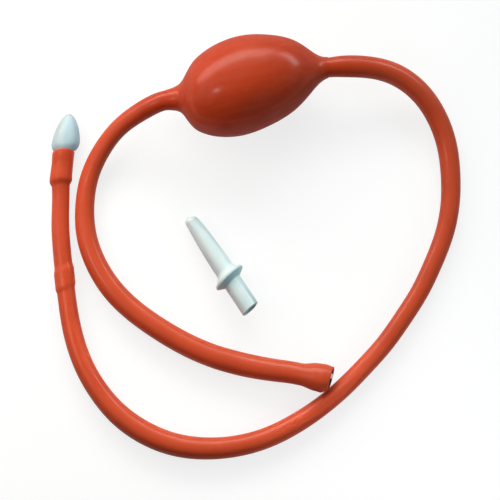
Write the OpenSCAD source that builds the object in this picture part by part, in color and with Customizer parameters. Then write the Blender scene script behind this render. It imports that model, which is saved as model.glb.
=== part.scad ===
// Rubber bulb syringe with a suction hose, a delivery hose, two ball valves and two nozzles.
// Millimetres. The syringe lies on the table at z = 0, and the origin is the bulb's resting point.

/* [Bulb] */
// Largest diameter of the bulb
bulb_d = 60; // [50:1:72]
// From the widest station to the left end of the egg
bulb_left = 39.5; // [34:0.5:46]
// From the widest station to the right end of the egg
bulb_right = 50.5; // [44:0.5:60]
// Thickness of the bulb's wall
bulb_wall = 3; // [2:0.25:4]
// Length of the left neck beyond the egg
left_neck_l = 6.5; // [3:0.5:9]
// Length of the right neck beyond the egg
right_neck_l = 3.5; // [2:0.5:8]
// Outside diameter of both necks
neck_d = 12.8; // [10.5:0.1:15]
// Depth of the flat that the bulb rests on
bulb_flat = 0.5; // [0.3:0.1:1.2]
// Turn of the bulb's axis on the table
bulb_turn = 11.5; // [6:0.5:16]

/* [Bulb crown] */
// Diameter of the part of the wall that the thumb presses in
crown_d = 44; // [30:1:46]
// Gap between the crown and the rest of the bulb
crown_gap = 0.3; // [0.2:0.1:0.6]

/* [Hose] */
// Outside diameter of the hose where its girth is 1
hose_od = 12.5; // [11.5:0.1:14]
// Bore of the hose
hose_bore = 7; // [4:0.5:8]
// Sides of the hose's section
hose_sides = 12; // [8:2:12]

/* [Valves] */
// Diameter of the inlet valve's ball
inlet_ball_d = 6.4; // [5.2:0.1:6.8]
// Diameter of the outlet valve's ball
outlet_ball_d = 5.4; // [4.6:0.1:5.8]
// Diameter of the narrow way through the inlet valve's seat
inlet_way_d = 3.6; // [2:0.1:4]
// Diameter of the narrow way through the outlet valve's seat
outlet_way_d = 3; // [2:0.1:3.4]
// Length of the narrow way through a seat
seat_l = 2.2; // [1.5:0.1:3.5]
// Room round a ball in its chamber
ball_play = 0.8; // [0.5:0.1:1]
// How far a ball lifts off its seat
ball_lift = 1.6; // [0.8:0.1:2.5]
// Wall of a valve body round its chamber
valve_wall = 1.2; // [0.8:0.1:1.4]
// Diameter of the pin that stops a ball
stop_pin_d = 1.4; // [1:0.1:2]
// Length of a valve body beyond its stop pin
valve_end_l = 0.9; // [0.6:0.1:2]

/* [Inlet end] */
// Outside diameter of the flared end of the suction hose
flare_d = 18.4; // [17:0.2:21]
// Outside diameter of the lip at the mouth
lip_d = 15.8; // [15:0.1:17]
// Diameter of the inlet valve's head
inlet_head_d = 13.2; // [11.5:0.1:14]
// Length of the inlet valve's head
inlet_head_l = 4; // [2:0.5:6]
// Depth of the inlet valve's head behind the mouth
inlet_recess = 5; // [3:0.5:7]
// Width of the bar across the mouth
guard_bar_w = 3; // [2:0.2:5]
// Depth of the bar behind the mouth
guard_inset = 0.2; // [0:0.1:1]
// Length of the ring that carries the bar
guard_ring_l = 2; // [1:0.2:2.6]
// Wall of the ring that carries the bar
guard_ring_wall = 1.4; // [0.8:0.1:2.5]
// Place of the mouth's centre to the right of the bulb
inlet_x = 58; // [52:0.5:60]
// Place of the mouth's centre in front of the bulb
inlet_y = -180; // [-182:0.5:-172]
// Height of the mouth's centre
inlet_z = 14.5; // [12:0.5:20]
// Turn of the inlet's axis on the table
inlet_turn = -7.5; // [-12:0.5:0]
// Upward tilt of the inlet's axis
inlet_tilt = 8; // [3:0.5:10]

/* [Outlet valve] */
// Outside diameter of the hose where it swells over the outlet valve
swell_d = 13.2; // [12.4:0.1:15]
// Place of the outlet valve to the right of the bulb
outlet_x = -110; // [-113:0.5:-109]
// Place of the outlet valve in front of the bulb
outlet_y = -115; // [-120:0.5:-110]
// Turn of the outlet valve's axis on the table
outlet_turn = 95.5; // [90:0.5:100]

/* [Olive nozzle] */
// Largest diameter of the olive
olive_d = 17.6; // [15:0.2:20]
// From the olive's shoulder to its widest station
olive_back_l = 5; // [3:0.5:8]
// From the widest station to the tip
olive_front_l = 18.4; // [14:0.2:26]
// Diameter of the shoulder that the hose is pushed against
olive_shoulder_d = 13.6; // [13:0.2:15]
// Diameter of the tail inside the hose
olive_tail_d = 9.4; // [8:0.1:9.8]
// Length of the tail inside the hose
olive_tail_l = 21.5; // [15:0.5:25]
// Diameter of the ridge at the end of the tail
olive_ridge_d = 10.4; // [10:0.1:11]
// Diameter of the way through the nozzles
nozzle_way_d = 3.6; // [2:0.1:4.4]
// Outside diameter of the hose where it is stretched over the tail
sleeve_d = 13.4; // [12.6:0.1:14]
// Place of the hose's rim at the olive to the right of the bulb
olive_x = -110.5; // [-113:0.5:-108]
// Place of the hose's rim at the olive in front of the bulb
olive_y = -38.5; // [-42:0.5:-34]
// Turn of the olive's axis on the table
olive_turn = 84.5; // [80:0.5:90]
// Upward tilt of the olive's axis
olive_tilt = 2; // [0:0.5:4]

/* [Long nozzle] */
// Length from tip to tail
long_l = 70.5; // [64:0.5:84]
// Diameter at the tip
long_tip_d = 8.8; // [7:0.2:11]
// Rounding of the tip
long_tip_round = 2.6; // [1:0.2:3.2]
// Diameter where the taper meets the flange
long_root_d = 12; // [10:0.2:14]
// From the tip to the root of the flange
long_root_at = 36; // [30:0.5:40]
// From the tip to the middle of the flange's rim
flange_at = 44; // [42:0.5:46]
// Diameter of the flange
flange_d = 21; // [18:0.5:26]
// Rounding of the flange's rim
flange_round = 0.8; // [0.4:0.1:1.2]
// From the tip to the start of the tail
tail_at = 49; // [47:0.5:54]
// Diameter of the tail
tail_d = 12.2; // [11:0.1:14]
// Chamfer of the tail's rim
tail_edge = 0.4; // [0.2:0.1:0.8]
// Bore of the tail
tail_bore_d = 8.6; // [6:0.1:9.6]
// Depth of the tail's bore
tail_bore_l = 22; // [10:0.5:26]
// Place of the tip to the right of the bulb
long_x = -31; // [-45:0.5:-20]
// Place of the tip in front of the bulb
long_y = -80; // [-95:0.5:-70]
// Turn of the long nozzle's axis on the table, from tip to tail
long_turn = -56.5; // [-75:0.5:-40]

/* [Fits] */
// Radial room round a valve body in the hose
insert_fit = 0.05; // [0.02:0.01:0.1]
// Radial room round the olive's tail in the hose
nozzle_fit = 0.1; // [0.05:0.01:0.2]
// Radial room round a stop pin in its holes
pin_fit = 0.02; // [0.01:0.01:0.05]
// Gap between a resting ball and its seat
seat_gap = 0.1; // [0.05:0.01:0.3]
// Gap between a lifted ball and its stop pin
stop_gap = 0.3; // [0.2:0.05:0.5]
// Gap between a nozzle's shoulder and the hose's rim
rim_gap = 0.3; // [0.1:0.05:0.5]

/* [Hidden] */
$fn = 48;
rubber = [0.78, 0.27, 0.13];
ivory = [0.86, 0.92, 0.93];
steel = [0.68, 0.69, 0.71];

// Free points of the suction hose, from the bulb to the inlet end.
// Each is [x, y, height of the underside, girth], with the girth as a share of hose_od.
suction_route = [
    [-59, -14.5, 19.5, 0.95],
    [-74.5, -24.5, 13.5, 0.88],
    [-86.5, -38.5, 7, 0.88],
    [-94.5, -55, 2, 0.91],
    [-97.5, -74, 0, 0.95],
    [-96, -92.5, 0, 1.01],
    [-89.5, -110.5, 0, 1.06],
    [-79, -126.5, 0, 1.1],
    [-65.5, -139.5, 0, 1.11],
    [-50, -150.5, 0, 1.12],
    [-33.5, -160, 0, 1.14],
    [-16, -167.5, 0, 1.16],
    [2.5, -172.5, 0.5, 1.17],
];
// Free points of the delivery hose, from the bulb to the outlet valve
delivery_route = [
    [64, 12, 22.5, 1.05],
    [80, 12, 19.5, 1.08],
    [96, 9, 14.5, 1.09],
    [112.5, -1, 8.5, 1.07],
    [124, -15.5, 3, 1.04],
    [131, -33.5, 0.5, 1.01],
    [133.5, -53, 0, 0.98],
    [133, -72.5, 0, 0.95],
    [129, -91.5, 0, 0.93],
    [122, -109.5, 0, 0.92],
    [113.5, -127, 0, 0.91],
    [103, -143.5, 0, 0.91],
    [91.5, -159.5, 0, 0.9],
    [78.5, -174, 0, 0.91],
    [65, -187.5, 0, 0.93],
    [50.5, -199.5, 0, 0.95],
    [34.5, -210, 0, 0.99],
    [17, -218.5, 0, 1.02],
    [-1.5, -223.5, 0, 1.05],
    [-21, -225, 0, 1.09],
    [-40.5, -222.5, 0, 1.13],
    [-58.5, -215.5, 0, 1.14],
    [-74.5, -204.5, 0, 1.1],
    [-87.5, -190, 0, 1.03],
    [-97.5, -173, 0, 0.98],
    [-104, -154.5, 0, 0.95],
];
// Free point of the delivery hose between the outlet valve and the olive
nozzle_route = [[-112.5, -84, 1, 0.88]];
// Girth of the suction hose before its flare, and of the delivery hose before and after the outlet valve
inlet_girth = 1.16;
outlet_girth = 0.94;
nozzle_girth = 0.88;
// Stations of each half of the bulb's outline, and of each curve of a nozzle's outline
bulb_steps = 9;
curve_steps = 8;
// Power that blends the egg into its necks, and the two powers of the olive's outline
neck_blend = 4;
olive_along = 1.6;
olive_across = 1.7;
// Share of the olive's full length that its flat tip cuts off
olive_cut = 0.96;
// Run over which a seat in the hose opens from its bore
seat_run = 1.5;
// Straight run of the suction hose before the inlet valve
inlet_lead = 8;
// How far a cutting shape runs past what it cuts
past = 1;

// Axes and places

function heading(turn, tilt) = [cos(tilt) * cos(turn), cos(tilt) * sin(turn), sin(tilt)];
function unit(v) = v / norm(v);

bulb_z = bulb_d / 2 - bulb_flat;
bulb_axis = heading(bulb_turn, 0);
left_end = bulb_left + left_neck_l;
right_end = bulb_right + right_neck_l;
inlet_axis = heading(inlet_turn, inlet_tilt);
inlet_mouth = [inlet_x, inlet_y, inlet_z];
outlet_axis = heading(outlet_turn, 0);
outlet_z = swell_d / 2;
outlet_centre = [outlet_x, outlet_y, outlet_z];
olive_axis = heading(olive_turn, olive_tilt);
olive_z = olive_d / 2 * cos(olive_tilt) - olive_back_l * sin(olive_tilt);
olive_rim = [olive_x, olive_y, olive_z];

// Stands a shape that points along +z at a place, pointing along a turn and a tilt.
module point_along(place, turn, tilt) {
    translate(place) rotate([0, 90 - tilt, turn]) children();
}

// Valve sizes, measured along the flow from the upstream face of the valve body.
// The seat is a cone of 45 degrees, so a ball touches it at its radius times the root of 2 from the apex.

function chamber_r(ball_d) = ball_d / 2 + ball_play;
function stem_r(ball_d) = chamber_r(ball_d) + valve_wall;
function ball_at(ball_d, way_d) = seat_l - way_d / 2 + ball_d / 2 * sqrt(2) + seat_gap;
function stop_at(ball_d, way_d) = ball_at(ball_d, way_d) + ball_d / 2 + ball_lift + stop_gap + stop_pin_d / 2;
function valve_l(ball_d, way_d) = stop_at(ball_d, way_d) + stop_pin_d / 2 + valve_end_l;

inlet_stem_r = stem_r(inlet_ball_d);
inlet_valve_l = valve_l(inlet_ball_d, inlet_way_d);
outlet_stem_r = stem_r(outlet_ball_d);
outlet_valve_l = valve_l(outlet_ball_d, outlet_way_d);
inlet_face = inlet_mouth - inlet_recess * inlet_axis;
outlet_face = outlet_centre - outlet_valve_l / 2 * outlet_axis;

// Hoses. A ring is [centre, outside radius, bore radius].

function seat_bore(r, fit) = (r + fit) / cos(180 / hose_sides);
function free_ring(p) = [[p[0], p[1], p[2] + p[3] * hose_od / 2], p[3] * hose_od / 2, hose_bore / 2];
function axis_ring(place, axis, at, d, bore_r) = [place + at * axis, d / 2, bore_r];
function neck_ring(at) = [[0, 0, bulb_z] + at * bulb_axis, neck_d / 2, hose_bore / 2];

inlet_bore = seat_bore(inlet_stem_r, insert_fit);
head_bore = seat_bore(inlet_head_d / 2, insert_fit);
inlet_stem_end = -inlet_recess - inlet_valve_l;
inlet_head_end = -inlet_recess - inlet_head_l;
inlet_rings = [for (s = [
    [inlet_stem_end - inlet_lead, inlet_girth * hose_od, hose_bore / 2],
    [inlet_stem_end - seat_run, inlet_girth * hose_od, hose_bore / 2],
    [inlet_stem_end, inlet_girth * hose_od, inlet_bore],
    [inlet_head_end - seat_run, (inlet_girth * hose_od + flare_d) / 2, inlet_bore],
    [inlet_head_end, flare_d, head_bore],
    [-inlet_recess / 2, flare_d, head_bore],
    [0, lip_d, head_bore],
]) axis_ring(inlet_mouth, inlet_axis, s[0], s[1], s[2])];

outlet_bore = seat_bore(outlet_stem_r, insert_fit);
outlet_half = outlet_valve_l / 2;
outlet_rings = [for (s = [
    [-outlet_half - 3 * seat_run, outlet_girth * hose_od, hose_bore / 2],
    [-outlet_half - seat_run, outlet_girth * hose_od, hose_bore / 2],
    [-outlet_half, swell_d, outlet_bore],
    [outlet_half, swell_d, outlet_bore],
    [outlet_half + seat_run, nozzle_girth * hose_od, hose_bore / 2],
    [outlet_half + 3 * seat_run, nozzle_girth * hose_od, hose_bore / 2],
]) axis_ring(outlet_centre, outlet_axis, s[0], s[1], s[2])];

tail_bore = seat_bore(olive_tail_d / 2, nozzle_fit);
ridge_bore = seat_bore(olive_ridge_d / 2, nozzle_fit);
ridge_run = 2 * seat_run;
olive_rings = [for (s = [
    [-olive_tail_l - 2 * ridge_run, nozzle_girth * hose_od, hose_bore / 2],
    [-olive_tail_l - seat_run, nozzle_girth * hose_od, hose_bore / 2],
    [-olive_tail_l, sleeve_d, ridge_bore],
    [-olive_tail_l + seat_run, sleeve_d + olive_ridge_d - olive_tail_d, ridge_bore],
    [-olive_tail_l + ridge_run, sleeve_d, tail_bore],
    [-rim_gap, sleeve_d, tail_bore],
]) axis_ring(olive_rim, olive_axis, s[0], s[1], s[2])];

suction_rings = concat(
    [neck_ring(-left_end)], [for (p = suction_route) free_ring(p)], inlet_rings);
delivery_rings = concat(
    [neck_ring(right_end)], [for (p = delivery_route) free_ring(p)], outlet_rings,
    [for (p = nozzle_route) free_ring(p)], olive_rings);

// Points of one circle of a hose, square to its run
function hoop(centre, along, r) = let (
    side = unit(cross(along, [0, 0, 1])),
    up = cross(side, along)
) [for (j = [0:hose_sides - 1]) let (a = 360 * j / hose_sides) centre + r * (cos(a) * side + sin(a) * up)];

// One tube with its bore, swept through the rings. It leaves along first and ends along last.
module hose(rings, first, last) {
    count = len(rings);
    top = count - 1;
    n = hose_sides;
    along = [for (i = [0:top])
        i == 0 ? first : i == top ? last : unit(rings[i + 1][0] - rings[i - 1][0])];
    outer = [for (i = [0:top]) each hoop(rings[i][0], along[i], rings[i][1])];
    inner = [for (i = [0:top]) each hoop(rings[i][0], along[i], rings[i][2])];
    bore = count * n;
    strips = [for (i = [0:top - 1], j = [0:n - 1]) let (
        a = i * n + j,
        b = i * n + (j + 1) % n,
        c = b + n,
        d = a + n
    ) each [[a, b, c], [a, c, d], [bore + a, bore + c, bore + b], [bore + a, bore + d, bore + c]]];
    caps = [for (j = [0:n - 1]) let (
        a = j,
        b = (j + 1) % n,
        c = top * n + a,
        d = top * n + b
    ) each [[b, a, bore + a], [b, bore + a, bore + b], [c, d, bore + d], [c, bore + d, bore + c]]];
    polyhedron(points = concat(outer, inner), faces = concat(strips, caps));
}

module suction_hose() {
    color(rubber) hose(suction_rings, -bulb_axis, inlet_axis);
}

module delivery_hose() {
    color(rubber) hose(delivery_rings, bulb_axis, olive_axis);
}

// Bulb

function egg_r(u, inset) = (bulb_d / 2 - inset)
    * sqrt(max(0, 1 - pow(u / ((u < 0 ? bulb_left : bulb_right) - inset), 2)));
function blend_r(a, b) = pow(pow(a, neck_blend) + pow(b, neck_blend), 1 / neck_blend);
function bulb_stations(inset) = concat(
    [-left_end],
    [for (i = [0:bulb_steps]) -(bulb_left - inset) * cos(90 * i / bulb_steps)],
    [for (i = [1:bulb_steps]) (bulb_right - inset) * sin(90 * i / bulb_steps)],
    [right_end]);
function bulb_outline(inset, neck_r) = [for (u = bulb_stations(inset)) [blend_r(egg_r(u, inset), neck_r), u]];
function reversed(list) = [for (i = [len(list) - 1:-1:0]) list[i]];

module bulb_wall_solid() {
    difference() {
        point_along([0, 0, bulb_z], bulb_turn, 0)
            rotate_extrude()
                polygon(concat(bulb_outline(0, neck_d / 2), reversed(bulb_outline(bulb_wall, hose_bore / 2))));
        translate([-2 * bulb_right, -bulb_d, -bulb_d]) cube([4 * bulb_right, 2 * bulb_d, bulb_d]);
    }
}

module crown_space(gap) {
    translate([0, 0, bulb_z]) cylinder(d = crown_d + 2 * gap, h = bulb_d);
}

module bulb() {
    color(rubber) difference() {
        bulb_wall_solid();
        crown_space(crown_gap);
    }
}

module bulb_crown() {
    color(rubber) intersection() {
        bulb_wall_solid();
        crown_space(0);
    }
}

// Valves. Each stands on its upstream face, with the flow along +z.

module valve_body(ball_d, way_d, head_d = 0, head_l = 0) {
    way = way_d / 2;
    chamber = chamber_r(ball_d);
    stem = stem_r(ball_d);
    length = valve_l(ball_d, way_d);
    head = head_l > 0 ? [[head_d / 2, 0], [head_d / 2, head_l]] : [];
    difference() {
        rotate_extrude() polygon(concat([[way, 0]], head, [
            [stem, head_l], [stem, length], [chamber, length],
            [chamber, seat_l + chamber - way], [way, seat_l],
        ]));
        translate([0, 0, stop_at(ball_d, way_d)]) rotate([90, 0, 0])
            cylinder(d = stop_pin_d + 2 * pin_fit, h = 2 * (stem + past), center = true);
    }
}

module valve_ball(ball_d, way_d) {
    translate([0, 0, ball_at(ball_d, way_d)]) sphere(d = ball_d);
}

module valve_stop(ball_d, way_d) {
    stem = stem_r(ball_d);
    translate([0, 0, stop_at(ball_d, way_d)]) rotate([90, 0, 0])
        cylinder(d = stop_pin_d, h = 2 * sqrt(stem * stem - stop_pin_d * stop_pin_d / 4), center = true);
}

// The inlet flows in from the mouth, so its valve points back along the inlet's axis.
module at_inlet_valve() {
    point_along(inlet_face, inlet_turn + 180, -inlet_tilt) children();
}

module at_outlet_valve() {
    point_along(outlet_face, outlet_turn, 0) children();
}

module inlet_valve_body() {
    color(ivory) at_inlet_valve()
        valve_body(inlet_ball_d, inlet_way_d, inlet_head_d, inlet_head_l);
}

module inlet_valve_ball() {
    color(steel) at_inlet_valve() valve_ball(inlet_ball_d, inlet_way_d);
}

module inlet_valve_stop() {
    color(steel) at_inlet_valve() valve_stop(inlet_ball_d, inlet_way_d);
}

module outlet_valve_body() {
    color(ivory) at_outlet_valve() valve_body(outlet_ball_d, outlet_way_d);
}

module outlet_valve_ball() {
    color(steel) at_outlet_valve() valve_ball(outlet_ball_d, outlet_way_d);
}

module outlet_valve_stop() {
    color(steel) at_outlet_valve() valve_stop(outlet_ball_d, outlet_way_d);
}

// A ring seated on the inlet valve's head, with a bar that stands out to the mouth
module inlet_guard() {
    reach = inlet_recess - guard_inset;
    color(ivory) point_along(inlet_face, inlet_turn, inlet_tilt) {
        difference() {
            cylinder(d = inlet_head_d, h = guard_ring_l);
            translate([0, 0, -past])
                cylinder(d = inlet_head_d - 2 * guard_ring_wall, h = guard_ring_l + 2 * past);
        }
        intersection() {
            cylinder(d = inlet_head_d, h = reach);
            translate([-inlet_head_d, -guard_bar_w / 2, 0]) cube([2 * inlet_head_d, guard_bar_w, reach]);
        }
    }
}

// Nozzles

function arc(centre, r, from, to) = [for (i = [0:curve_steps])
    let (a = from + (to - from) * i / curve_steps) centre + r * [cos(a), sin(a)]];

// The olive's back swells from its shoulder, and its front closes to a small flat tip.
olive_back = [for (i = [0:curve_steps]) let (t = i / curve_steps)
    [olive_d / 2 - (olive_d - olive_shoulder_d) / 2 * pow(1 - t, 2), olive_back_l * t]];
olive_front = [for (i = [1:curve_steps]) let (t = olive_cut * sin(90 * i / curve_steps))
    [
        olive_d / 2 * pow(1 - pow(t, olive_along), 1 / olive_across),
        olive_back_l + olive_front_l * t / olive_cut,
    ]];

module olive_nozzle() {
    way_r = nozzle_way_d / 2;
    tail_r = olive_tail_d / 2;
    ridge_r = olive_ridge_d / 2;
    tip_z = olive_back_l + olive_front_l;
    color(ivory) point_along(olive_rim, olive_turn, olive_tilt)
        rotate_extrude() polygon(concat(
            [
                [way_r, tip_z], [way_r, -olive_tail_l], [tail_r - seat_run / 2, -olive_tail_l],
                [ridge_r, -olive_tail_l + seat_run], [tail_r, -olive_tail_l + ridge_run], [tail_r, 0],
            ],
            olive_back, olive_front));
}

// The long nozzle lies on its tip and its flange. Its tilt and height follow from the two roundings.
tip_corner = long_tip_d / 2 - long_tip_round;
rim_corner = flange_d / 2 - flange_round;
rest_run = flange_at - long_tip_round;
rest_rise = rim_corner - tip_corner;
long_tilt = atan(rest_rise / rest_run)
    + asin((flange_round - long_tip_round) / norm([rest_run, rest_rise]));
long_z = long_tip_round + tip_corner * cos(long_tilt) - long_tip_round * sin(long_tilt);

// A hollow flare from the taper's root out to the rim
flange_flare = [for (i = [1:curve_steps]) let (t = i / curve_steps)
    [
        long_root_d / 2 + (rim_corner - long_root_d / 2) * t * t,
        long_root_at + (flange_at - flange_round - long_root_at) * t,
    ]];

module long_nozzle() {
    way_r = nozzle_way_d / 2;
    bore_r = tail_bore_d / 2;
    bore_at = long_l - tail_bore_l;
    color(ivory) point_along([long_x, long_y, long_z], long_turn, long_tilt)
        rotate_extrude() polygon(concat(
            [[way_r, 0]],
            arc([tip_corner, long_tip_round], long_tip_round, -90, 0),
            [[long_root_d / 2, long_root_at]],
            flange_flare,
            arc([rim_corner, flange_at], flange_round, -90, 90),
            [
                [tail_d / 2, tail_at], [tail_d / 2, long_l - tail_edge], [tail_d / 2 - tail_edge, long_l],
                [bore_r, long_l], [bore_r, bore_at], [way_r, bore_at - bore_r + way_r],
            ]));
}

bulb();
bulb_crown();
suction_hose();
delivery_hose();
inlet_guard();
inlet_valve_body();
inlet_valve_ball();
inlet_valve_stop();
outlet_valve_body();
outlet_valve_ball();
outlet_valve_stop();
olive_nozzle();
long_nozzle();
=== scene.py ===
# Looks of a red rubber bulb syringe that lies on a table, seen from almost straight above. Metres.
import math

import bpy
import numpy as np
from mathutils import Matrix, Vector


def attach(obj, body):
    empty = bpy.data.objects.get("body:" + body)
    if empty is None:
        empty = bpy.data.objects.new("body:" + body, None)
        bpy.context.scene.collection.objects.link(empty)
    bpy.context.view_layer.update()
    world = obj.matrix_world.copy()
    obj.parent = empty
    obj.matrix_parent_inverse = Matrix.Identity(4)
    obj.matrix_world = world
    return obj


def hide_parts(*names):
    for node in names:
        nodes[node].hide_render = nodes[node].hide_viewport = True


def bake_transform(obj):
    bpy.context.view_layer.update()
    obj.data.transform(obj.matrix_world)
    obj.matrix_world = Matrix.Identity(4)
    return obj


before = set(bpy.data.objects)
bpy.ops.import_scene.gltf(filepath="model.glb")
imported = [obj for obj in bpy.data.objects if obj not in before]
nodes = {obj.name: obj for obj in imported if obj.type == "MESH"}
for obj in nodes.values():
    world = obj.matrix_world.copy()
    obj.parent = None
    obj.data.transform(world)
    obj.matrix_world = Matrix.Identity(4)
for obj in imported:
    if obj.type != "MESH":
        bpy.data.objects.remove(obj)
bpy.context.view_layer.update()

# View
VIEW_TARGET = (0.0068, -0.1007, 0.006)
VIEW_ELEVATION = 86
VIEW_DISTANCE = 1.1
PICTURE_W = 0.315
SENSOR_W = 36

# Bulb, about the line through its two necks. The outline is (place along that line, radius)
BULB_TURN = 11.5
BULB_Z = 0.0295
LEFT_END = 0.046
RIGHT_END = 0.054
BULB_OUTLINE = [
    (-0.0475, 0.0061), (-0.0415, 0.0071), (-0.0372, 0.009), (-0.034, 0.0132), (-0.031, 0.0177),
    (-0.028, 0.0211), (-0.024, 0.0239), (-0.018, 0.0268), (-0.008, 0.0296), (0.003, 0.0304),
    (0.014, 0.0289), (0.024, 0.0262), (0.034, 0.0219), (0.043, 0.0152), (0.048, 0.0107),
    (0.052, 0.0079), (0.0565, 0.0064),
]
BULB_LEFT_WAY = (1, 0.1)
BULB_RIGHT_WAY = (1, -0.2)
# The moulding is not quite square: its far side leans towards the outlet, and its middle sits a little
# to the near side of its ends, in full from BULB_DROP_L in
BULB_LEAN = 0.175
BULB_DROP = 0.0004
BULB_DROP_L = 0.014
BULB_STEP = 0.001
BULB_SIDES = 96
NECK_R = 0.0061

# Hoses
HOSE_OD = 0.0125
# The hoses are drawn this much outside their solids
HOSE_SKIN = 0.00012
HOSE_STEP = 0.0012
HOSE_SIDES = 40
# How fast what is done to the top of a hose fades out towards its sides
TOP_POWER = 1.5
# The bore is laid out this far behind the bulb, by which the rubber knows where to paint shade
BORE_LAY = 1
BORE_RINGS = (0.25, 0.6, 1)
# Each point of a route is (x, y, height of the underside, girth as a share of the hose's diameter)
SUCTION_ROUTE = [
    (-0.059, -0.0145, 0.0195, 0.95), (-0.0745, -0.0245, 0.0135, 0.88), (-0.0865, -0.0385, 0.007, 0.88),
    (-0.0945, -0.055, 0.002, 0.91), (-0.0975, -0.074, 0, 0.95), (-0.096, -0.0925, 0, 1.01),
    (-0.0895, -0.1105, 0, 1.06), (-0.079, -0.1265, 0, 1.1), (-0.0655, -0.1395, 0, 1.11),
    (-0.05, -0.1505, 0, 1.12), (-0.0335, -0.16, 0, 1.14), (-0.016, -0.1675, 0, 1.16),
    (0.0025, -0.1725, 0.0005, 1.17),
]
DELIVERY_ROUTE = [
    (0.064, 0.012, 0.0225, 1.05), (0.08, 0.012, 0.0195, 1.08), (0.096, 0.009, 0.0145, 1.09),
    (0.1125, -0.001, 0.0085, 1.07), (0.124, -0.0155, 0.003, 1.04), (0.131, -0.0335, 0.0005, 1.01),
    (0.1335, -0.053, 0, 0.98), (0.133, -0.0725, 0, 0.95), (0.129, -0.0915, 0, 0.93),
    (0.122, -0.1095, 0, 0.92), (0.1135, -0.127, 0, 0.91), (0.103, -0.1435, 0, 0.91),
    (0.0915, -0.1595, 0, 0.9), (0.0785, -0.174, 0, 0.91), (0.065, -0.1875, 0, 0.93),
    (0.0505, -0.1995, 0, 0.95), (0.0345, -0.21, 0, 0.99), (0.017, -0.2185, 0, 1.02),
    (-0.0015, -0.2235, 0, 1.05), (-0.021, -0.225, 0, 1.09), (-0.0405, -0.2225, 0, 1.13),
    (-0.0585, -0.2155, 0, 1.14), (-0.0745, -0.2045, 0, 1.1), (-0.0875, -0.19, 0, 1.03),
    (-0.0975, -0.173, 0, 0.98), (-0.104, -0.1545, 0, 0.95),
]
NOZZLE_ROUTE = [(-0.1125, -0.084, 0.001, 0.88), (-0.1123, -0.064, 0.0015, 0.87)]
# A list of stations is (run, value), and the run is from the hose's end where nothing else is said
LEVEL = [(0, 0)]

# Flared inlet, at the end of the suction hose
INLET_MOUTH = (0.058, -0.18, 0.0145)
INLET_TURN = -7.5
INLET_TILT = 8
INLET_GIRTH = 1.12
# The hose is straight from this far before the mouth, and its lip stops this short of it
INLET_LEAD = 0.0254
INLET_SHORT = 0.0004
INLET_LIP = 0.0016
INLET_BORE_R = 0.0056
INLET_BORE_L = 0.007
# The share of the shift that the bore keeps
INLET_BORE_SHIFT = 0.5
INLET_FLARE = [(-0.0178, 0), (-0.0075, 0.0018), (-0.0035, 0.002), (0.001, 0.0008)]
INLET_SHIFT = [(-0.065, 0), (-0.028, 0.0009), (-0.0085, 0.0018), (-0.0035, 0.0021), (0, 0.0019)]
INLET_LEAN = [(-0.02, 0), (-0.009, 0.06), (0, -0.13)]

# Swelling over the outlet valve, with its stations by the run from its middle
OUTLET_CENTRE = (-0.11, -0.115, 0.0066)
OUTLET_TURN = 95.5
OUTLET_REACH = 0.0103
OUTLET_GIRTH = 0.92
OUTLET_SWELL_AT = -0.0028
OUTLET_SWELL = [(-0.0084, 0), (-0.0057, 0.0007), (0.0037, 0.0007), (0.008, 0)]
OUTLET_SLOPE = 0.3

# Olive, and the sleeve that holds it at the end of the delivery hose
OLIVE_RIM = (-0.1105, -0.0385, 0.00862)
OLIVE_TURN = 84.5
OLIVE_TILT = 2
OLIVE_SLOPE = 0.2
# The olive is drawn this far to the right of its solid
OLIVE_ASIDE = 0.0005
SLEEVE_L = 0.018
SLEEVE_GAP = 0.0014
SLEEVE_LIP = 0.0003
SLEEVE_BORE_R = 0.0049
SLEEVE_BORE_L = 0.0225
SLEEVE_BORE_SHIFT = 1
SLEEVE_SLOPE = 0.12
SLEEVE_SWELL = [
    (-0.0208, 0), (-0.018, 0.0013), (-0.017, 0.00135), (-0.013, 0.0011), (-0.007, 0.001), (0, 0.0011),
]
SLEEVE_SHIFT = [(-0.115, 0), (-0.094, 0.0001), (-0.062, -0.0003), (-0.03, -0.00025)]
SLEEVE_LEAN = [
    (-0.12, 0), (-0.1, OUTLET_SLOPE), (-0.06, OUTLET_SLOPE), (-0.03, SLEEVE_SLOPE), (-0.01, SLEEVE_SLOPE),
    (0, OLIVE_SLOPE),
]
SLEEVE_TONGUE = [(-0.034, 0), (-0.022, 0.0024)]
SLEEVE_FLAP = [(-0.012, 0), (0, 0.0015)]

# Long nozzle, with its lean by the run from its tip
LONG_TIP = (-0.031, -0.08, 0.004003)
LONG_TURN = -56.5
LONG_TILT = 8.356
LONG_LEAN = [(0, -0.17), (0.014, 0), (0.03, 0.17)]
# It is drawn this far to the right of its solid
LONG_ASIDE = 0.00035


def heading(turn, tilt=0):
    """The direction of a turn on the table and an upward tilt, in degrees."""
    turn, tilt = math.radians(turn), math.radians(tilt)
    return np.array([math.cos(tilt) * math.cos(turn), math.cos(tilt) * math.sin(turn), math.sin(tilt)])


def ease(x, low, high):
    """Rises smoothly from 0 at low to 1 at high."""
    t = np.clip((np.asarray(x, float) - low) / (high - low), 0, 1)
    return t * t * (3 - 2 * t)


def stepped(x, stations):
    """A smooth way through (place, value) stations, level at each of them."""
    value = np.full(np.shape(x), stations[0][1], float)
    for (a, first), (b, second) in zip(stations, stations[1:]):
        value = value + (second - first) * ease(x, a, b)
    return value


# Meshes

SHARP_ANGLE = 42
TURNED_SIDES = 96


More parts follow.
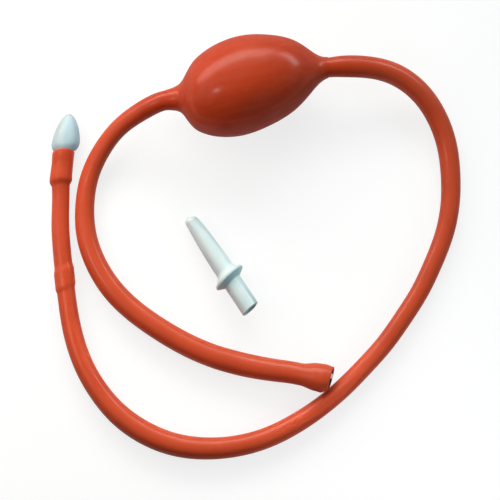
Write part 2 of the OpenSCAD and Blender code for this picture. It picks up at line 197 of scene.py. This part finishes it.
def mesh_piece(name, rings, lay, close_first=False, close_last=False, wrap=False):
    """One mesh through rings of points. lay is each point's place in the rubber or plastic as it was
    before it was bent."""
    rings = np.asarray(rings, float)
    count, sides = rings.shape[:2]
    faces = []
    for i in range(count if wrap else count - 1):
        a, b = i * sides, (i + 1) % count * sides
        for j in range(sides):
            k = (j + 1) % sides
            faces.append((a + j, a + k, b + k, b + j))
    if close_first:
        faces.append(tuple(range(sides - 1, -1, -1)))
    if close_last:
        faces.append(tuple(range((count - 1) * sides, count * sides)))
    data = bpy.data.meshes.new(name)
    data.from_pydata(rings.reshape(-1, 3).tolist(), [], faces)
    data.validate()
    data.shade_smooth()
    data.set_sharp_from_angle(angle=math.radians(SHARP_ANGLE))
    attribute = data.attributes.new("lay", "FLOAT_VECTOR", "POINT")
    attribute.data.foreach_set("vector", np.asarray(lay, np.float32).ravel())
    piece = bpy.data.objects.new(name, data)
    bpy.context.scene.collection.objects.link(piece)
    return piece


def smooth_line(points, first, last, step):
    """A cubic curve through the points, of any dimension, that leaves along first and ends along last."""
    points = np.asarray(points, float)
    chord = np.linalg.norm(np.diff(points[:, :3], axis=0), axis=1)
    sloped = len(first)
    at = np.concatenate([[0], np.cumsum(chord)])
    last_knot = len(points) - 1
    matrix = np.eye(len(points))
    wanted = np.zeros_like(points)
    wanted[0, :sloped], wanted[-1, :sloped] = first, last
    for i in range(1, last_knot):
        before, after = chord[i - 1], chord[i]
        matrix[i, i - 1:i + 2] = after, 2 * (before + after), before
        come = after * (points[i] - points[i - 1]) / before
        leave = before * (points[i + 1] - points[i]) / after
        wanted[i] = 3 * (come + leave)
    slope = np.linalg.solve(matrix, wanted)
    run = np.linspace(0, at[-1], int(at[-1] / step) + 1)
    i = np.clip(np.searchsorted(at, run, "right") - 1, 0, last_knot - 1)
    span = chord[i][:, None]
    t = (run - at[i])[:, None] / span
    return (
        points[i] * (1 + 2 * t) * (1 - t) ** 2
        + points[i + 1] * (3 - 2 * t) * t ** 2
        + slope[i] * span * t * (1 - t) ** 2
        - slope[i + 1] * span * t ** 2 * (1 - t)
    )


def free_points(route):
    """Route points as (x, y, z of the centre, radius)."""
    points = []
    for x, y, low, girth in route:
        radius = girth * HOSE_OD / 2
        points.append((x, y, low + radius, radius + HOSE_SKIN))
    return points


def axis_points(place, axis, offsets, radius):
    return [(*(np.array(place) + at * axis), radius) for at in offsets]


def tangents(line):
    along = np.gradient(line, axis=0)
    return along / np.linalg.norm(along, axis=1)[:, None]


def run_along(line):
    return np.cumsum(np.linalg.norm(np.diff(line, axis=0, prepend=line[:1]), axis=1))


def hose_piece(name, line, radius, mouth, shift, lean, tongue=LEVEL, flap=LEVEL):
    """A hose along line. mouth holds the rings (run past the end, radius, share of shift, if inside and so
    painted with shade) that turn round its lip and go back down its bore. The rest are stations: shift moves
    a ring to its right, lean slides its right side forward, tongue its top, and flap lifts its top. Gives the
    piece and its centres."""
    along = tangents(line)
    past = np.array([ring[0] for ring in mouth])
    run = run_along(line)
    from_end = np.concatenate([run - run[-1], past])
    end = from_end.clip(max=0)
    kept = np.concatenate([np.ones(len(line)), [ring[2] for ring in mouth]])
    radii = np.concatenate([radius, [ring[1] for ring in mouth]])[:, None]
    ways = np.concatenate([along, np.repeat(along[-1:], len(mouth), axis=0)])
    right = np.cross(ways, (0, 0, 1))
    right /= np.linalg.norm(right, axis=1)[:, None]
    up = np.cross(right, ways)
    centres = np.concatenate([line, line[-1] + past[:, None] * along[-1]])
    centres = centres + (kept * stepped(end, shift))[:, None] * right
    angle = np.linspace(0, 2 * math.pi, HOSE_SIDES, endpoint=False)
    across, height = np.cos(angle), np.sin(angle)
    top = height.clip(0) ** TOP_POWER
    reach = radii + (kept * stepped(end, flap))[:, None] * top
    slide = stepped(end, lean)[:, None] * radii * across + (kept * stepped(end, tongue))[:, None] * top
    rings = (
        centres[:, None] + (reach * across)[:, :, None] * right[:, None]
        + (reach * height)[:, :, None] * up[:, None] + slide[:, :, None] * ways[:, None])
    # Rings in the bore are laid out behind the bulb, so that the rubber paints shade on them
    shaded_bore_mask = np.array([False] * len(line) + [ring[3] for ring in mouth])
    laid = np.where(shaded_bore_mask, from_end - BORE_LAY, run[-1] + from_end)
    lay = np.stack([radii * across, radii * height, np.repeat(laid[:, None], HOSE_SIDES, axis=1)], -1)
    return mesh_piece(name, rings, lay, close_first=True, close_last=True), centres[:len(line)]


def lip_rings(outer, inner, lip, depth, bore_share, steps=11):
    """The rings of a rounded lip, from the outside of a hose's end to the floor of its bore, as hose_piece
    takes them. The inner half of the lip is inside, and has shade painted on it like the bore."""
    middle, half = (outer + inner) / 2, (outer - inner) / 2
    rings = []
    for turn in np.linspace(0, math.pi, steps)[1:]:
        share = 1 - (1 - bore_share) * turn / math.pi
        rings.append((lip * math.sin(turn), middle + half * math.cos(turn), share, turn > math.pi / 2))
    return rings + [(-depth * t, inner, bore_share, True) for t in BORE_RINGS]


def lathe_piece(name, profile, place, turn, tilt, lean):
    """A turned piece. profile is a closed outline of (radius, place along the axis), and the stations of
    lean slide the piece's right side along its axis, by the place along it."""
    axis = heading(turn, tilt)
    right = np.cross(axis, (0, 0, 1))
    right /= np.linalg.norm(right)
    up = np.cross(right, axis)
    profile = np.asarray(profile, float)
    radius, run = profile[:, :1], profile[:, 1:]
    angle = np.linspace(0, 2 * math.pi, TURNED_SIDES, endpoint=False)
    spoke = np.cos(angle)[:, None] * right + np.sin(angle)[:, None] * up
    slid = run + stepped(run, lean) * radius * np.cos(angle)
    rings = np.array(place) + slid[:, :, None] * axis + radius[:, :, None] * spoke
    lay = np.stack([radius * np.cos(angle), radius * np.sin(angle), np.repeat(run, TURNED_SIDES, axis=1)], -1)
    return mesh_piece(name, rings, lay, wrap=True)


def arc(centre, radius, first, last, steps):
    """Points round a centre, from one angle to another in degrees."""
    turn = np.radians(np.linspace(first, last, steps))
    return [(centre[0] + radius * math.cos(a), centre[1] + radius * math.sin(a)) for a in turn]


# Camera


def make_camera():
    data = bpy.data.cameras.new("camera")
    data.sensor_width = SENSOR_W
    data.lens = SENSOR_W * VIEW_DISTANCE / PICTURE_W
    camera = bpy.data.objects.new("camera", data)
    back = -Vector(heading(90, -VIEW_ELEVATION))
    camera.location = Vector(VIEW_TARGET) + VIEW_DISTANCE * back
    camera.rotation_euler = (-back).to_track_quat("-Z", "Y").to_euler()
    bpy.context.scene.collection.objects.link(camera)
    bpy.context.scene.camera = camera


# Pieces

bulb_axis = heading(BULB_TURN)
bulb_side = heading(BULB_TURN + 90)
bulb_centre = np.array([0, 0, BULB_Z])


def make_suction_hose():
    axis = heading(INLET_TURN, INLET_TILT)
    start = bulb_centre - LEFT_END * bulb_axis
    points = [(*start, NECK_R)] + free_points(SUCTION_ROUTE)
    straight = (-INLET_LEAD, -INLET_LEAD / 2, -INLET_LIP - INLET_SHORT)
    points += axis_points(INLET_MOUTH, axis, straight, INLET_GIRTH * HOSE_OD / 2)
    curve = smooth_line(points, -bulb_axis, axis, HOSE_STEP)
    line, radius = curve[:, :3], curve[:, 3]
    run = run_along(line)
    radius = radius + stepped(run - run[-1], INLET_FLARE)
    mouth = lip_rings(radius[-1], INLET_BORE_R, INLET_LIP, INLET_BORE_L, INLET_BORE_SHIFT)
    piece, path = hose_piece("suction_tube", line, radius, mouth, INLET_SHIFT, INLET_LEAN)
    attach(piece, "syringe")
    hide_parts("suction_hose")
    return piece


def make_delivery_hose():
    outlet_axis = heading(OUTLET_TURN)
    olive_axis = heading(OLIVE_TURN, OLIVE_TILT)
    start = bulb_centre + RIGHT_END * bulb_axis
    after_valve = OUTLET_GIRTH * HOSE_OD / 2
    points = [(*start, NECK_R)] + free_points(DELIVERY_ROUTE)
    points += axis_points(OUTLET_CENTRE, outlet_axis, (-OUTLET_REACH, 0, OUTLET_REACH), after_valve)
    points += free_points(NOZZLE_ROUTE)
    points += axis_points(OLIVE_RIM, olive_axis, (-SLEEVE_L, -SLEEVE_L / 2, -SLEEVE_GAP), after_valve)
    curve = smooth_line(points, bulb_axis, olive_axis, HOSE_STEP)
    line, radius = curve[:, :3], curve[:, 3]
    run = run_along(line)
    valve = np.argmin(np.linalg.norm(line - np.array(OUTLET_CENTRE), axis=1))
    radius = radius + stepped(run - run[valve] - OUTLET_SWELL_AT, OUTLET_SWELL)
    radius = radius + stepped(run - run[-1], SLEEVE_SWELL)
    mouth = lip_rings(radius[-1], SLEEVE_BORE_R, SLEEVE_LIP, SLEEVE_BORE_L, SLEEVE_BORE_SHIFT)
    piece, path = hose_piece(
        "delivery_tube", line, radius, mouth, SLEEVE_SHIFT, SLEEVE_LEAN, SLEEVE_TONGUE, SLEEVE_FLAP)
    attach(piece, "syringe")
    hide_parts("delivery_hose")
    return piece


def make_bulb():
    outline = smooth_line(BULB_OUTLINE, BULB_LEFT_WAY, BULB_RIGHT_WAY, BULB_STEP)
    at, radius = outline[:, :1], outline[:, 1:]
    angle = np.linspace(0, 2 * math.pi, BULB_SIDES, endpoint=False)
    across, height = np.cos(angle), np.sin(angle)
    from_end = np.minimum(at - at[0], at[-1] - at)
    centre = bulb_centre + at * bulb_axis - BULB_DROP * ease(from_end, 0, BULB_DROP_L) * bulb_side
    spoke = across[:, None] * (bulb_side + BULB_LEAN * bulb_axis) + height[:, None] * np.array([0, 0, 1])
    rings = centre[:, None] + radius[:, :, None] * spoke
    rings[:, :, 2] = np.maximum(rings[:, :, 2], 0)
    before_hoses = np.repeat(at - at[-1], BULB_SIDES, axis=1)
    lay = np.stack([radius * across, radius * height, before_hoses], -1)
    piece = mesh_piece("rubber_bulb", rings, lay, close_first=True, close_last=True)
    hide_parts("bulb", "bulb_crown")
    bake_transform(piece)
    return piece


def make_olive():
    way, tail, ridge, widest, shoulder = 0.0018, 0.0047, 0.0052, 0.0088, 0.0068
    back, front, tail_l = 0.005, 0.0184, 0.0215
    tail_taper, ridge_at, ridge_l = 0.0008, 0.0015, 0.003
    tip_share, taper, fullness = 0.96, 1.6, 1.7
    outline = [(way, back + front), (way, -tail_l), (tail - tail_taper, -tail_l)]
    outline += [(ridge, ridge_at - tail_l), (tail, ridge_l - tail_l), (tail, 0)]
    outline += [(widest - (widest - shoulder) * (1 - t) ** 2, back * t) for t in np.linspace(0, 1, 12)]
    for turn in np.linspace(0, math.pi / 2, 28)[1:]:
        t = tip_share * math.sin(turn)
        outline.append((widest * (1 - t ** taper) ** (1 / fullness), back + front * t / tip_share))
    place = OLIVE_RIM + OLIVE_ASIDE * heading(OLIVE_TURN - 90)
    piece = lathe_piece("olive_tip", outline, place, OLIVE_TURN, OLIVE_TILT, [(0, OLIVE_SLOPE)])
    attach(piece, "olive")
    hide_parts("olive_nozzle")
    return piece


def make_long_nozzle():
    way, bore, tail, stem, rim = 0.0018, 0.0043, 0.0061, 0.0063, 0.0107
    tip_r, tip_round, tip_past = 0.0044, 0.0042, 0.0005
    rim_round, rim_l, edge = 0.0008, 0.0006, 0.0004
    stem_l, rim_at, tail_at, length, bore_l = 0.0405, 0.0458, 0.0496, 0.0705, 0.022
    outline = arc((tip_r - tip_round, tip_round - tip_past), tip_round, -68, -8, 14)
    outline += [
        (tip_r + (stem - tip_r) * (1 - (1 - t) ** 2), tip_round + (stem_l - tip_round) * t)
        for t in np.linspace(0, 1, 12)]
    outline += [
        (stem + (rim - rim_round - stem) * t * t, stem_l + (rim_at - rim_round - stem_l) * t)
        for t in np.linspace(0, 1, 14)[1:]]
    outline += arc((rim - rim_round, rim_at), rim_round, -70, 0, 6)
    outline += arc((rim - rim_round, rim_at + rim_l), rim_round, 0, 66, 6)
    outline += [(tail, tail_at), (tail, length - edge), (tail - edge, length)]
    outline += [(bore, length), (bore, length - bore_l), (way, length - bore_l - bore + way)]
    place = LONG_TIP + LONG_ASIDE * heading(LONG_TURN - 90)
    piece = lathe_piece("long_pipe", outline, place, LONG_TURN, LONG_TILT, LONG_LEAN)
    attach(piece, "long_nozzle")
    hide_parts("long_nozzle")
    return piece


# Materials

HOSE_RED = (0.78, 0.09, 0.03, 1)
HOSE_RED_DEEP = (0.68, 0.074, 0.025, 1)
BULB_RED = (0.6, 0.052, 0.01, 1)
BULB_RED_DEEP = (0.52, 0.039, 0.008, 1)
RUBBER_BLOOM = (0.72, 0.14, 0.07, 1)
# Painted shade: near black, for the shade inside the bores and on the inner half of the lips
BORE_PAINTED_SHADE = (0.02, 0.004, 0.003, 1)
# The hoses take on their own red over this run from the bulb
BULB_RED_RUN = 0.06
# The rubber is finished as a hose up to the first of these radii, and as the bulb from the second
HOSE_FINISH_R = 0.0075
BULB_FINISH_R = 0.015
OLIVE_PALE = (0.58, 0.65, 0.66, 1)
OLIVE_COOL = (0.46, 0.62, 0.71, 1)
LONG_PALE = (0.87, 0.94, 0.95, 1)
LONG_COOL = (0.78, 0.93, 0.98, 1)
VALVE_PALE = (0.84, 0.93, 0.93, 1)
VALVE_COOL = (0.79, 0.92, 0.95, 1)
PLASTIC_STREAK = (0.5, 0.56, 0.54, 1)
PLASTIC_SPECK = (0.35, 0.36, 0.33, 1)
STEEL_PALE = (0.6, 0.61, 0.63, 1)
STEEL_DARK = (0.45, 0.46, 0.47, 1)
# Streaks are drawn out along a piece, and specks sit this many to a metre
STREAK_DRAW = (1, 1, 0.045)
SPECK_SCALE = 420


def put(tree, socket, value):
    """Links a value to a socket, or sets it there where it is plain."""
    if isinstance(value, bpy.types.NodeSocket):
        tree.links.new(value, socket)
    else:
        socket.default_value = value


def new_node(tree, kind, inputs=(), **settings):
    made = tree.nodes.new(kind)
    for name, value in settings.items():
        setattr(made, name, value)
    for name, value in dict(inputs).items():
        put(tree, made.inputs[name], value)
    return made


def noise(tree, place, scale, detail, roughness):
    made = new_node(tree, "ShaderNodeTexNoise", {
        "Vector": place, "Scale": scale, "Detail": detail, "Roughness": roughness})
    return made.outputs["Fac"]


def remap(tree, value, low, high, to_low=0.0, to_high=1.0):
    made = new_node(tree, "ShaderNodeMapRange", {
        "Value": value, "From Min": low, "From Max": high, "To Min": to_low, "To Max": to_high},
        interpolation_type="SMOOTHSTEP")
    return made.outputs["Result"]


def math_node(tree, operation, a, b):
    made = new_node(tree, "ShaderNodeMath", {0: a, 1: b}, operation=operation)
    return made.outputs["Value"]


def scaled(tree, value, by):
    return math_node(tree, "MULTIPLY", value, by)


def stretch(tree, place, by):
    made = new_node(tree, "ShaderNodeVectorMath", {0: place, 1: by}, operation="MULTIPLY")
    return made.outputs["Vector"]


def mix_colour(tree, share, a, b):
    """Goes from colour a to colour b by share. The node's colour sockets share their names with others, so
    they are found by number."""
    made = tree.nodes.new("ShaderNodeMix")
    made.data_type = "RGBA"
    put(tree, made.inputs[0], share)
    put(tree, made.inputs[6], a)
    put(tree, made.inputs[7], b)
    return made.outputs[2]


def new_group(name, inputs, outputs):
    group = bpy.data.node_groups.new(name, "ShaderNodeTree")
    for label, kind in inputs:
        group.interface.new_socket(label, in_out="INPUT", socket_type=kind)
    for label in outputs:
        group.interface.new_socket(label, in_out="OUTPUT", socket_type="NodeSocketFloat")
    entry = group.nodes.new("NodeGroupInput")
    leave = group.nodes.new("NodeGroupOutput")
    return group, entry.outputs, leave.inputs


def moulded_skin_group():
    """Soft clouds, streaks along the draw, specks and a fine grain, for every moulded surface."""
    group, given, result = new_group("moulded_skin", [
        ("Lay", "NodeSocketVector"), ("Clouds", "NodeSocketFloat"), ("Streaks", "NodeSocketFloat"),
        ("Grain", "NodeSocketFloat")], ["Cloud", "Streak", "Speck", "Height"])
    clouds = noise(group, given["Lay"], given["Clouds"], detail=4, roughness=0.6)
    put(group, result["Cloud"], remap(group, clouds, 0.3, 0.7))
    drawn = stretch(group, given["Lay"], STREAK_DRAW)
    streaks = noise(group, drawn, given["Streaks"], detail=3, roughness=0.6)
    put(group, result["Streak"], remap(group, streaks, 0.35, 0.7))
    cells = new_node(group, "ShaderNodeTexVoronoi", {"Vector": given["Lay"], "Scale": SPECK_SCALE})
    put(group, result["Speck"], remap(group, cells.outputs["Distance"], 0.1, 0.05))
    fine = noise(group, given["Lay"], given["Grain"], detail=2, roughness=0.5)
    put(group, result["Height"], math_node(group, "ADD", fine, scaled(group, streaks, 0.8)))
    return group


def new_material(name):
    material = bpy.data.materials.new(name)
    material.use_nodes = True
    tree = material.node_tree
    return material, tree, tree.nodes["Principled BSDF"]


def skin_of(tree, skin, clouds, streaks, grain, lay_name="lay"):
    """The moulded skin with its own scales, by the lay of the piece or, without one, by its own place."""
    if lay_name:
        place = new_node(tree, "ShaderNodeAttribute", attribute_name=lay_name).outputs["Vector"]
    else:
        place = new_node(tree, "ShaderNodeTexCoord").outputs["Object"]
    made = new_node(tree, "ShaderNodeGroup", node_tree=skin)
    put(tree, made.inputs["Lay"], place)
    for label, value in (("Clouds", clouds), ("Streaks", streaks), ("Grain", grain)):
        made.inputs[label].default_value = value
    return made.outputs


def bumped(tree, shader, height, depth, strength=0.35):
    bump = new_node(tree, "ShaderNodeBump", {"Strength": strength, "Distance": depth, "Height": height})
    put(tree, shader.inputs["Normal"], bump.outputs["Normal"])


def red_rubber(skin):
    """Moulded red rubber: cloudy colour, a pale bloom in streaks, specks and dull patches. It is deeper in
    colour on the bulb and the first of the hoses, has shade painted into its bores, and is polished most on
    the bulb."""
    material, tree, shader = new_material("red_rubber")
    found = skin_of(tree, skin, clouds=36, streaks=340, grain=2600)
    lay = new_node(tree, "ShaderNodeAttribute", attribute_name="lay").outputs["Vector"]
    girth = new_node(tree, "ShaderNodeVectorMath", {0: stretch(tree, lay, (1, 1, 0))}, operation="LENGTH")
    thick = remap(tree, girth.outputs["Value"], HOSE_FINISH_R, BULB_FINISH_R)
    from_bulb = new_node(tree, "ShaderNodeSeparateXYZ", {"Vector": lay}).outputs["Z"]
    near = remap(tree, from_bulb, 0, BULB_RED_RUN, 1, 0)
    full = mix_colour(tree, near, HOSE_RED, BULB_RED)
    deep = mix_colour(tree, near, HOSE_RED_DEEP, BULB_RED_DEEP)
    colour = mix_colour(tree, scaled(tree, found["Cloud"], 0.7), full, deep)
    colour = mix_colour(tree, scaled(tree, found["Streak"], 0.1), colour, RUBBER_BLOOM)
    colour = mix_colour(tree, scaled(tree, found["Speck"], 0.35), colour, deep)
    # Painted shade: the bores and the inner half of the lips go near black, as the shade inside the hoses
    shaded_bore_mask = remap(tree, from_bulb, -0.3 * BORE_LAY, -0.15 * BORE_LAY, 1, 0)
    put(tree, shader.inputs["Base Color"], mix_colour(tree, shaded_bore_mask, colour, BORE_PAINTED_SHADE))
    dull = remap(tree, found["Cloud"], 0, 1, 0.42, 0.5)
    put(tree, shader.inputs["Roughness"], math_node(tree, "ADD", dull, scaled(tree, thick, 0.3)))
    polish = remap(tree, found["Cloud"], 0, 1, 0.14, 0.1)
    kept = remap(tree, thick, 0, 1, 0.65, 1)
    put(tree, shader.inputs["Coat Weight"], math_node(tree, "MULTIPLY", polish, kept))
    shader.inputs["Specular IOR Level"].default_value = 0.12
    shader.inputs["Coat Roughness"].default_value = 0.24
    shader.inputs["Coat IOR"].default_value = 2.2
    bumped(tree, shader, found["Height"], depth=0.00012, strength=0.16)
    return material


def white_plastic(skin, name, pale, cool, lay_name="lay"):
    """Bluish white plastic with clouds of two tints, faint streaks and grey specks."""
    material, tree, shader = new_material(name)
    found = skin_of(tree, skin, clouds=160, streaks=700, grain=3200, lay_name=lay_name)
    colour = mix_colour(tree, found["Cloud"], cool, pale)
    colour = mix_colour(tree, scaled(tree, found["Streak"], 0.12), colour, PLASTIC_STREAK)
    colour = mix_colour(tree, scaled(tree, found["Speck"], 0.25), colour, PLASTIC_SPECK)
    put(tree, shader.inputs["Base Color"], colour)
    put(tree, shader.inputs["Roughness"], remap(tree, found["Cloud"], 0, 1, 0.34, 0.46))
    bumped(tree, shader, found["Height"], depth=0.00006)
    return material


def valve_steel(skin):
    """Cloudy steel with a streaky shine, for the balls and their stops."""
    material, tree, shader = new_material("valve_steel")
    found = skin_of(tree, skin, clouds=300, streaks=900, grain=4000, lay_name=None)
    put(tree, shader.inputs["Base Color"], mix_colour(tree, found["Cloud"], STEEL_PALE, STEEL_DARK))
    put(tree, shader.inputs["Roughness"], remap(tree, found["Streak"], 0, 1, 0.18, 0.34))
    shader.inputs["Metallic"].default_value = 1
    bumped(tree, shader, found["Height"], depth=0.00003)
    return material


def dress(piece, material):
    piece.data.materials.clear()
    piece.data.materials.append(material)


# Stage

TABLE_HALF = 60
TABLE_Z = -0.0002
TABLE_GREY = (0.3, 0.3, 0.3, 1)
TABLE_GLOW = 0.78
ROOM_TINT = (0.86, 0.93, 1, 1)
ROOM_LIGHT = 0.02


def make_floor():
    """A pale table that keeps its shadows, and glows only where it is seen, mirrored or looked through to."""
    data = bpy.data.meshes.new("table")
    corners = [(TABLE_HALF * x, TABLE_HALF * y, TABLE_Z) for x, y in ((-1, -1), (1, -1), (1, 1), (-1, 1))]
    data.from_pydata(corners, [], [(0, 1, 2, 3)])
    floor = bpy.data.objects.new("table", data)
    bpy.context.scene.collection.objects.link(floor)
    material, tree, shader = new_material("table_white")
    shader.inputs["Base Color"].default_value = TABLE_GREY
    shader.inputs["Roughness"].default_value = 0.9
    shader.inputs["Specular IOR Level"].default_value = 0
    shader.inputs["Emission Color"].default_value = (1, 1, 1, 1)
    path = tree.nodes.new("ShaderNodeLightPath")
    seen = math_node(tree, "MAXIMUM", path.outputs["Is Camera Ray"], path.outputs["Is Glossy Ray"])
    seen = math_node(tree, "MAXIMUM", seen, path.outputs["Is Transmission Ray"])
    put(tree, shader.inputs["Emission Strength"], scaled(tree, seen, TABLE_GLOW))
    dress(floor, material)
    return floor


def make_world():
    world = bpy.data.worlds.new("room")
    world.use_nodes = True
    back = world.node_tree.nodes["Background"]
    back.inputs["Color"].default_value = ROOM_TINT
    back.inputs["Strength"].default_value = ROOM_LIGHT
    bpy.context.scene.world = world


def make_lamp(
        name, turn, tilt, distance, size, power, colour, aim=VIEW_TARGET, mirrored=True, lighting=True,
        spread=180, only=()):
    """A lamp at a turn, tilt and distance from the middle of the view. mirrored and lighting say if it is
    seen in gloss and if it lights. Where some pieces are given, only they are lit by it."""
    data = bpy.data.lights.new(name, "AREA")
    data.shape = "RECTANGLE"
    data.size, data.size_y = size
    data.energy = power
    data.color = colour
    data.spread = math.radians(spread)
    lamp = bpy.data.objects.new(name, data)
    out = Vector(heading(turn, tilt))
    lamp.location = Vector(VIEW_TARGET) + distance * out
    lamp.rotation_euler = (Vector(aim) - lamp.location).to_track_quat("-Z", "Y").to_euler()
    lamp.visible_glossy = mirrored
    lamp.visible_diffuse = lighting
    lamp.visible_camera = False
    bpy.context.scene.collection.objects.link(lamp)
    if only:
        lit = bpy.data.collections.new(name + "_lights")
        for piece in only:
            lit.objects.link(piece)
        lamp.light_linking.receiver_collection = lit


def make_lamps(suction, delivery, bulb, olive, long_nozzle, floor):
    """Windows and their reflections, screens that fill the shade, and two small lamps on the hose."""
    rubber_side = (suction, delivery, bulb, nodes["inlet_guard"], floor)
    make_lamp(
        "left_window", turn=118, tilt=30, distance=1.2, size=(1.85, 0.4), power=8.3, colour=(0.97, 1, 0.92),
        aim=(-0.8, -1.6, 0), mirrored=False, spread=120)
    make_lamp(
        "left_strip", turn=113, tilt=25, distance=1.2, size=(2, 0.48), power=18.5, colour=(1, 0.97, 0.88),
        lighting=False)
    make_lamp(
        "right_window", turn=45, tilt=22, distance=1.2, size=(0.75, 0.22), power=5, colour=(0.9, 0.97, 1),
        lighting=False)
    make_lamp(
        "ceiling_lamp", turn=185.5, tilt=59, distance=1.2, size=(0.05, 0.05), power=1.4,
        colour=(1, 0.96, 0.9), lighting=False)
    make_lamp(
        "left_screen", turn=165, tilt=35, distance=0.4, size=(0.3, 0.2), power=0.48, colour=(1, 0.88, 0.8),
        mirrored=False)
    make_lamp(
        "upper_screen", turn=125, tilt=45, distance=0.45, size=(0.3, 0.3), power=0.2, colour=(1, 0.95, 0.9),
        aim=(-0.1, -0.1, 0), mirrored=False)
    make_lamp(
        "near_screen", turn=312, tilt=32, distance=0.3, size=(0.2, 0.15), power=0.13, colour=(1, 0.93, 0.93),
        aim=(0.06, -0.19, 0.01), mirrored=False, only=rubber_side)
    make_lamp(
        "nozzle_screen", turn=0, tilt=25, distance=0.9, size=(0.5, 0.3), power=1.2, colour=(0.4, 0.95, 1),
        mirrored=False, only=(long_nozzle,))
    make_lamp(
        "olive_screen", turn=345, tilt=45, distance=0.4, size=(0.2, 0.15), power=0.6, colour=(0.1, 0.75, 1),
        mirrored=False, only=(olive,))
    make_lamp(
        "over_screen", turn=115, tilt=62, distance=0.9, size=(0.7, 0.5), power=0.9, colour=(0.75, 0.97, 1),
        mirrored=False)
    make_lamp(
        "far_screen", turn=0, tilt=25, distance=0.9, size=(0.5, 0.3), power=1, colour=(0.45, 0.85, 1),
        mirrored=False)
    make_lamp(
        "mouth_lamp", turn=145, tilt=66, distance=0.45, size=(0.05, 0.05), power=0.0036,
        colour=(1, 0.97, 0.93), aim=(0.0595, -0.1935, 0.01), mirrored=False, spread=10, only=(delivery,))
    make_lamp(
        "outlet_lamp", turn=48, tilt=62, distance=0.44, size=(0.02, 0.02), power=0.0015,
        colour=(1, 0.97, 0.95), aim=(-0.103, -0.155, 0.01), mirrored=False, spread=10, only=(delivery,))


def main():
    bpy.context.scene.view_settings.view_transform = "Standard"
    make_camera()
    olive = make_olive()
    suction = make_suction_hose()
    delivery = make_delivery_hose()
    bulb = make_bulb()
    long_nozzle = make_long_nozzle()
    skin = moulded_skin_group()
    rubber = red_rubber(skin)
    for piece in (suction, delivery, bulb):
        dress(piece, rubber)
    dress(olive, white_plastic(skin, "olive_plastic", OLIVE_PALE, OLIVE_COOL))
    dress(long_nozzle, white_plastic(skin, "nozzle_plastic", LONG_PALE, LONG_COOL))
    valve_plastic = white_plastic(skin, "valve_plastic", VALVE_PALE, VALVE_COOL, lay_name=None)
    for name in ("inlet_guard", "inlet_valve_body", "outlet_valve_body"):
        dress(nodes[name], valve_plastic)
    steel = valve_steel(skin)
    for name in ("inlet_valve_ball", "inlet_valve_stop", "outlet_valve_ball", "outlet_valve_stop"):
        dress(nodes[name], steel)
    floor = make_floor()
    make_world()
    make_lamps(suction, delivery, bulb, olive, long_nozzle, floor)


main()
